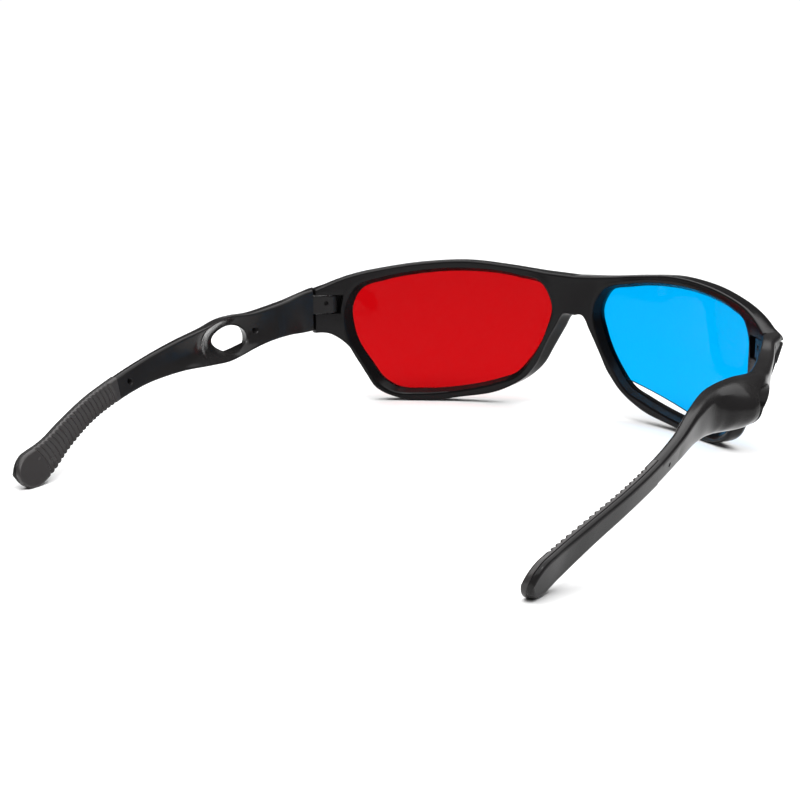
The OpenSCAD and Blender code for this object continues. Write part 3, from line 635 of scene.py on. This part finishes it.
    # Each half's first and last section are closed by quads across, from the inner columns to the outer ones
    n, m = grids[0][0].shape[:2]
    k = np.arange(m // 2 - 1)
    across = np.stack([k, k + 1, m - 2 - k, m - 1 - k], 1)
    for sign, first in ((1, 0), (-1, counts[len(grids) // 2])):
        quads += [across[:, ::-sign] + first, across[:, ::sign] + first + (n - 1) * m]
    return shell(np.vstack([g.reshape(-1, 3) for g, _ in grids]), np.vstack(quads))


def grip_shell():
    """The grip: box sections from its front end to the tip whose inner face carries arc-shaped ribs.
    A point's rib phase is its distance behind the first rib, less the arc's sagitta at its height."""
    b = np.concatenate([np.linspace(GRIP_BACK + GLUE, ARM_LEN - TIP_ROUND, 260), tip_run(16)])
    xo, xi = outer_x(b) - GRIP_SEAT - GLUE, inner_x(b)
    zt, zl = arm_top(b), arm_low(b)
    r_max = ROUND_SHARE * (zt - zl)
    ri, rs = np.minimum(GRIP_ROUND, r_max), np.minimum(SEAT_ROUND, r_max)
    corner = 6
    seat = box_ring(xo, xi, zt, zl, rs, ri, ri, rs, n=corner)
    v = np.linspace(0, 1, 44)[1:-1]
    face = np.stack([xi[:, None] + 0 * v, (zt - ri)[:, None] + ((zl + ri) - (zt - ri))[:, None] * v], -1)
    ring = np.concatenate([seat[:, :3 * corner], face, seat[:, 3 * corner:]], 1)
    mid = arm_mid(b)
    slope = np.arctan(np.gradient(mid, b))[:, None]
    up = (ring[..., 1] - mid[:, None]) * np.cos(slope)
    sag = RIB_ARC - np.sqrt(np.maximum(0, RIB_ARC**2 - up**2))
    phase = (b[:, None] + up * np.tan(slope) - sag - GRIP_BACK) / RIB_PITCH - 1
    groove = (0.5 - 0.5 * np.cos(2 * np.pi * phase)) ** 1.4 * ((phase > 0) & (phase < RIB_N))
    ring[..., 0] += RIB_H * groove * smooth((xo[:, None] - ring[..., 0]) / (xo - xi)[:, None], 0.35, 0.6)
    return tube(in_frame(ring[..., 0], b[:, None] + 0 * ring[..., 0], ring[..., 1]))


def tongue_shell():
    """Hinge tongue: a flat bar with a round nose about the hinge axis, carried up through its height with
    bevelled edges. Its inner face has a round blind dimple beside the pin."""
    into_arm = 1.0
    t = np.radians(np.linspace(90, 270, 33))
    r = AXIS_IN - TONGUE_INSET
    nose = np.stack([-AXIS_BACK + r * np.cos(t), AXIS_IN - RIM_T + r * np.sin(t)], 1)
    run = np.linspace(-AXIS_BACK, JOINT_GAP + into_arm, 42)[1:]
    inner = np.stack([run, 0 * run + TONGUE_INSET - RIM_T], 1)
    outer = np.array([[JOINT_GAP + into_arm, -4 * TONGUE_INSET], [0.87 * AXIS_IN - AXIS_BACK, -4 * TONGUE_INSET]])
    plan = np.vstack([nose, inner, outer])
    z = np.concatenate([[0], np.linspace(TONGUE_BEVEL, TONGUE_H - TONGUE_BEVEL, 34), [TONGUE_H]])[:, None]
    inset = np.where((z == 0) | (z == TONGUE_H), TONGUE_BEVEL, 0)[..., None]
    to_mid = plan.mean(0) - plan
    ring = plan + to_mid / np.linalg.norm(to_mid, axis=1)[:, None] * inset
    on_inner = (plan[:, 1] < 1.5 * TONGUE_INSET - RIM_T) & (plan[:, 0] > -AXIS_BACK)
    px = ring[..., 0]
    out = ring[..., 1] + on_inner * dimple(px, z, TONGUE_DIMPLE)
    out = drawn_in(out, TONGUE_Z + z, smooth(px, SLOT_START - JOINT_S, 0), RIM_T)
    ca, sa = math.cos(JOINT_A), math.sin(JOINT_A)
    return tube(np.stack([JOINT_X + px * ca + out * sa, JOINT_Y - px * sa + out * ca + SHIFT_Y,
                          TONGUE_Z + z + 0 * px], -1))


# Materials, with pattern sizes in millimetres
def linear(hex_colour):
    """sRGB hex to linear colour."""
    c = np.array([int(hex_colour[i:i + 2], 16) for i in (1, 3, 5)]) / 255
    return (*np.where(c <= 0.04045, c / 12.92, ((c + 0.055) / 1.055) ** 2.4).tolist(), 1.0)


def add_node(tree, kind, settings=None, links=None):
    """Adds a node, sets its properties and sockets, and links its inputs to other nodes' outputs. A socket goes
    by its name, or by its number where several share a name."""
    made = tree.nodes.new(kind)
    for key, value in (settings or {}).items():
        if isinstance(key, int) or key in made.inputs:
            made.inputs[key].default_value = value
        else:
            setattr(made, key, value)
    for key, source in (links or {}).items():
        tree.links.new(source, made.inputs[key])
    return made


def new_material(name):
    """An empty node material, its nodes and the object coordinates that its patterns use."""
    made = bpy.data.materials.new(name)
    made.use_nodes = True
    made.node_tree.nodes.clear()
    return made, made.node_tree, add_node(made.node_tree, "ShaderNodeTexCoord").outputs["Object"]


def moulded_plastic(name, dark, light, gloss, rough, grain, bump):
    """Black injection-moulded plastic: a satin skin whose fine mould texture breaks up the gloss, with faint
    flow clouds in colour and polish. The real texture is finer than 0.1 mm, too fine to show; its grain is drawn
    as coarse as it needs to show."""
    flow = 14
    made, tree, place = new_material(name)
    texture = add_node(tree, "ShaderNodeTexNoise", {"Scale": 1000 / grain, "Detail": 2.0}, {"Vector": place})
    cloud = add_node(tree, "ShaderNodeTexNoise", {"Scale": 1000 / flow, "Detail": 3.0}, {"Vector": place})
    # Sockets 6 and 7 are the two colours, 0 is the share of the second, and output 2 is the mixed colour
    tone = add_node(tree, "ShaderNodeMix", {"data_type": "RGBA", 6: linear(dark), 7: linear(light)},
                    {0: cloud.outputs["Fac"]})
    polish = add_node(tree, "ShaderNodeMapRange",
                      {"From Min": 0.3, "From Max": 0.7, "To Min": rough - 0.05, "To Max": rough + 0.06},
                      {"Value": cloud.outputs["Fac"]})
    skin = add_node(tree, "ShaderNodeBump", {"Strength": bump, "Distance": 0.00004},
                    {"Height": texture.outputs["Fac"]})
    surface = add_node(tree, "ShaderNodeBsdfPrincipled", {"IOR": 1.5, "Specular IOR Level": gloss},
                       {"Base Color": tone.outputs[2], "Roughness": polish.outputs["Result"],
                        "Normal": skin.outputs["Normal"]})
    add_node(tree, "ShaderNodeOutputMaterial", links={"Surface": surface.outputs["BSDF"]})
    return made


def tinted_sheet(name, colour):
    """Dyed polycarbonate sheet: clear, strongly tinted and polished, so it passes one colour and mirrors the
    lights, with a faint waviness and slight handling marks. The IOR is lower than the real 1.58, because the
    dyed lenses show hardly any reflection."""
    wave_l, mark_w = 18, 5
    made, tree, place = new_material(name)
    wave = add_node(tree, "ShaderNodeTexNoise", {"Scale": 1000 / wave_l, "Detail": 1.0}, {"Vector": place})
    skin = add_node(tree, "ShaderNodeBump", {"Strength": 0.02, "Distance": 0.0002}, {"Height": wave.outputs["Fac"]})
    mark = add_node(tree, "ShaderNodeTexNoise", {"Scale": 1000 / mark_w, "Detail": 4.0}, {"Vector": place})
    polish = add_node(tree, "ShaderNodeMapRange",
                      {"From Min": 0.5, "From Max": 0.75, "To Min": 0.0, "To Max": 0.04},
                      {"Value": mark.outputs["Fac"]})
    surface = add_node(tree, "ShaderNodeBsdfPrincipled",
                       {"Base Color": linear(colour), "IOR": 1.12, "Transmission Weight": 1.0},
                       {"Roughness": polish.outputs["Result"], "Normal": skin.outputs["Normal"]})
    add_node(tree, "ShaderNodeOutputMaterial", links={"Surface": surface.outputs["BSDF"]})
    return made


def drawn_steel(name):
    """Drawn steel wire: bright grey metal with fine lines along its length."""
    lines_across, lines_along = 9, 0.3
    made, tree, place = new_material(name)
    scale = (1000 * lines_across, 1000 * lines_across, 1000 * lines_along)
    lines = add_node(tree, "ShaderNodeMapping", {"Scale": scale}, {"Vector": place})
    wear = add_node(tree, "ShaderNodeTexNoise", {"Scale": 1.0, "Detail": 2.0}, {"Vector": lines.outputs["Vector"]})
    polish = add_node(tree, "ShaderNodeMapRange", {"To Min": 0.25, "To Max": 0.42}, {"Value": wear.outputs["Fac"]})
    skin = add_node(tree, "ShaderNodeBump", {"Strength": 0.1, "Distance": 0.00002}, {"Height": wear.outputs["Fac"]})
    surface = add_node(tree, "ShaderNodeBsdfPrincipled", {"Base Color": linear("#b9babc"), "Metallic": 1.0},
                       {"Roughness": polish.outputs["Result"], "Normal": skin.outputs["Normal"]})
    add_node(tree, "ShaderNodeOutputMaterial", links={"Surface": surface.outputs["BSDF"]})
    return made


def white_paper(name):
    """Matt white paper: even, with a fine felt of fibres."""
    fibre_l = 1.1
    made, tree, place = new_material(name)
    fibre = add_node(tree, "ShaderNodeTexNoise", {"Scale": 1000 / fibre_l, "Detail": 3.0}, {"Vector": place})
    skin = add_node(tree, "ShaderNodeBump", {"Strength": 0.05, "Distance": 0.0001}, {"Height": fibre.outputs["Fac"]})
    surface = add_node(tree, "ShaderNodeBsdfPrincipled",
                       {"Base Color": linear("#e7e7e7"), "Roughness": 0.6, "Specular IOR Level": 0.1},
                       {"Normal": skin.outputs["Normal"]})
    add_node(tree, "ShaderNodeOutputMaterial", links={"Surface": surface.outputs["BSDF"]})
    return made


frame_plastic = moulded_plastic("black moulded ABS", "#0d0c0d", "#121112",
                                gloss=0.13, rough=0.19, grain=0.4, bump=0.15)
# The temples' plastic is a lighter black than the front's
temple_plastic = moulded_plastic("black moulded ABS of the temples", "#131213", "#262525",
                                 gloss=0.12, rough=0.19, grain=0.4, bump=0.15)
grip_plastic = moulded_plastic("ribbed moulded ABS", "#2d2b2b", "#383636",
                               gloss=0.25, rough=0.26, grain=0.5, bump=0.2)
red_sheet = tinted_sheet("red dyed polycarbonate", "#a8050a")
cyan_sheet = tinted_sheet("cyan dyed polycarbonate", "#0099d8")
pin_steel = drawn_steel("drawn steel wire")

# Pieces
add_piece("front", front_shells(), frame_plastic, "front", "front_frame")
add_piece("red_lens", [mirrored(lens_shell(False))], red_sheet, "front", "lens_red")
add_piece("cyan_lens", [lens_shell(True)], cyan_sheet, "front", "lens_cyan")
temple = [arm_shell(), tongue_shell()]
grip = [grip_shell()]
add_piece("right_temple", temple, temple_plastic, "right_temple", "right_temple_arm")
add_piece("left_temple", [mirrored(p) for p in temple], temple_plastic, "left_temple", "left_temple_arm")
add_piece("right_grip", grip, grip_plastic, "right_temple", "right_temple_grip")
add_piece("left_grip", [mirrored(p) for p in grip], grip_plastic, "left_temple", "left_temple_grip")
for node in ("left_hinge_pin", "right_hinge_pin"):
    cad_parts[node].data.materials.clear()
    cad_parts[node].data.materials.append(pin_steel)

# Floor, light and camera, in metres
FLOOR = 0.6
floor_mesh = bpy.data.meshes.new("floor")
floor_mesh.from_pydata([(-FLOOR, -FLOOR, 0), (FLOOR, -FLOOR, 0), (FLOOR, FLOOR, 0), (-FLOOR, FLOOR, 0)],
                       [], [(0, 1, 2, 3)])
floor_mesh.materials.append(white_paper("white paper"))
floor = bpy.data.objects.new("floor", floor_mesh)
bpy.context.scene.collection.objects.link(floor)

# White surroundings up to just over the horizon, and a dim ceiling above them
world = bpy.data.worlds.new("studio")
bpy.context.scene.world = world
world.use_nodes = True
sky = world.node_tree
toward = add_node(sky, "ShaderNodeTexCoord").outputs["Generated"]
way = add_node(sky, "ShaderNodeSeparateXYZ", links={"Vector": toward})
fall = add_node(sky, "ShaderNodeMapRange", {"From Min": 0.04, "From Max": 0.13, "To Min": 1.1, "To Max": 0.06,
                                            "interpolation_type": "SMOOTHSTEP"}, {"Value": way.outputs["Z"]})
sky.links.new(fall.outputs["Result"], sky.nodes["Background"].inputs["Strength"])
sky.nodes["Background"].inputs["Color"].default_value = (1, 1, 1, 1)


def soft_box(name, place, aim, size, watts):
    """A square soft box at a place, turned towards a point: tipped by the angle between the way there and
    straight down, then turned about the upright."""
    light = bpy.data.lights.new(name, "AREA")
    light.shape, light.size, light.energy = "SQUARE", size, watts
    made = bpy.data.objects.new(name, light)
    x, y, z = np.subtract(aim, place).tolist()
    flat = math.hypot(x, y)
    made.location = place
    made.rotation_euler = (math.atan2(flat, -z), 0, math.atan2(-x, y) if flat else 0)
    bpy.context.scene.collection.objects.link(made)


soft_box("top_box", (0, 0, 1.0), (0, 0, 0), 2.0, 42)
soft_box("key_box", (0.25, -0.35, 0.8), (0, 0, 0.02), 0.14, 1.6)

camera_data = bpy.data.cameras.new("camera")
camera_data.lens, camera_data.sensor_width, camera_data.sensor_fit = 65.2, 36, "HORIZONTAL"
camera = bpy.data.objects.new("camera", camera_data)
camera.location = (0.1861, -0.3662 + SHIFT_Y * 0.001, 0.0906)
camera.rotation_euler = (math.radians(77.8), 0, math.radians(34.17))
bpy.context.scene.collection.objects.link(camera)
bpy.context.scene.camera = camera
bpy.context.scene.view_settings.view_transform = "Standard"
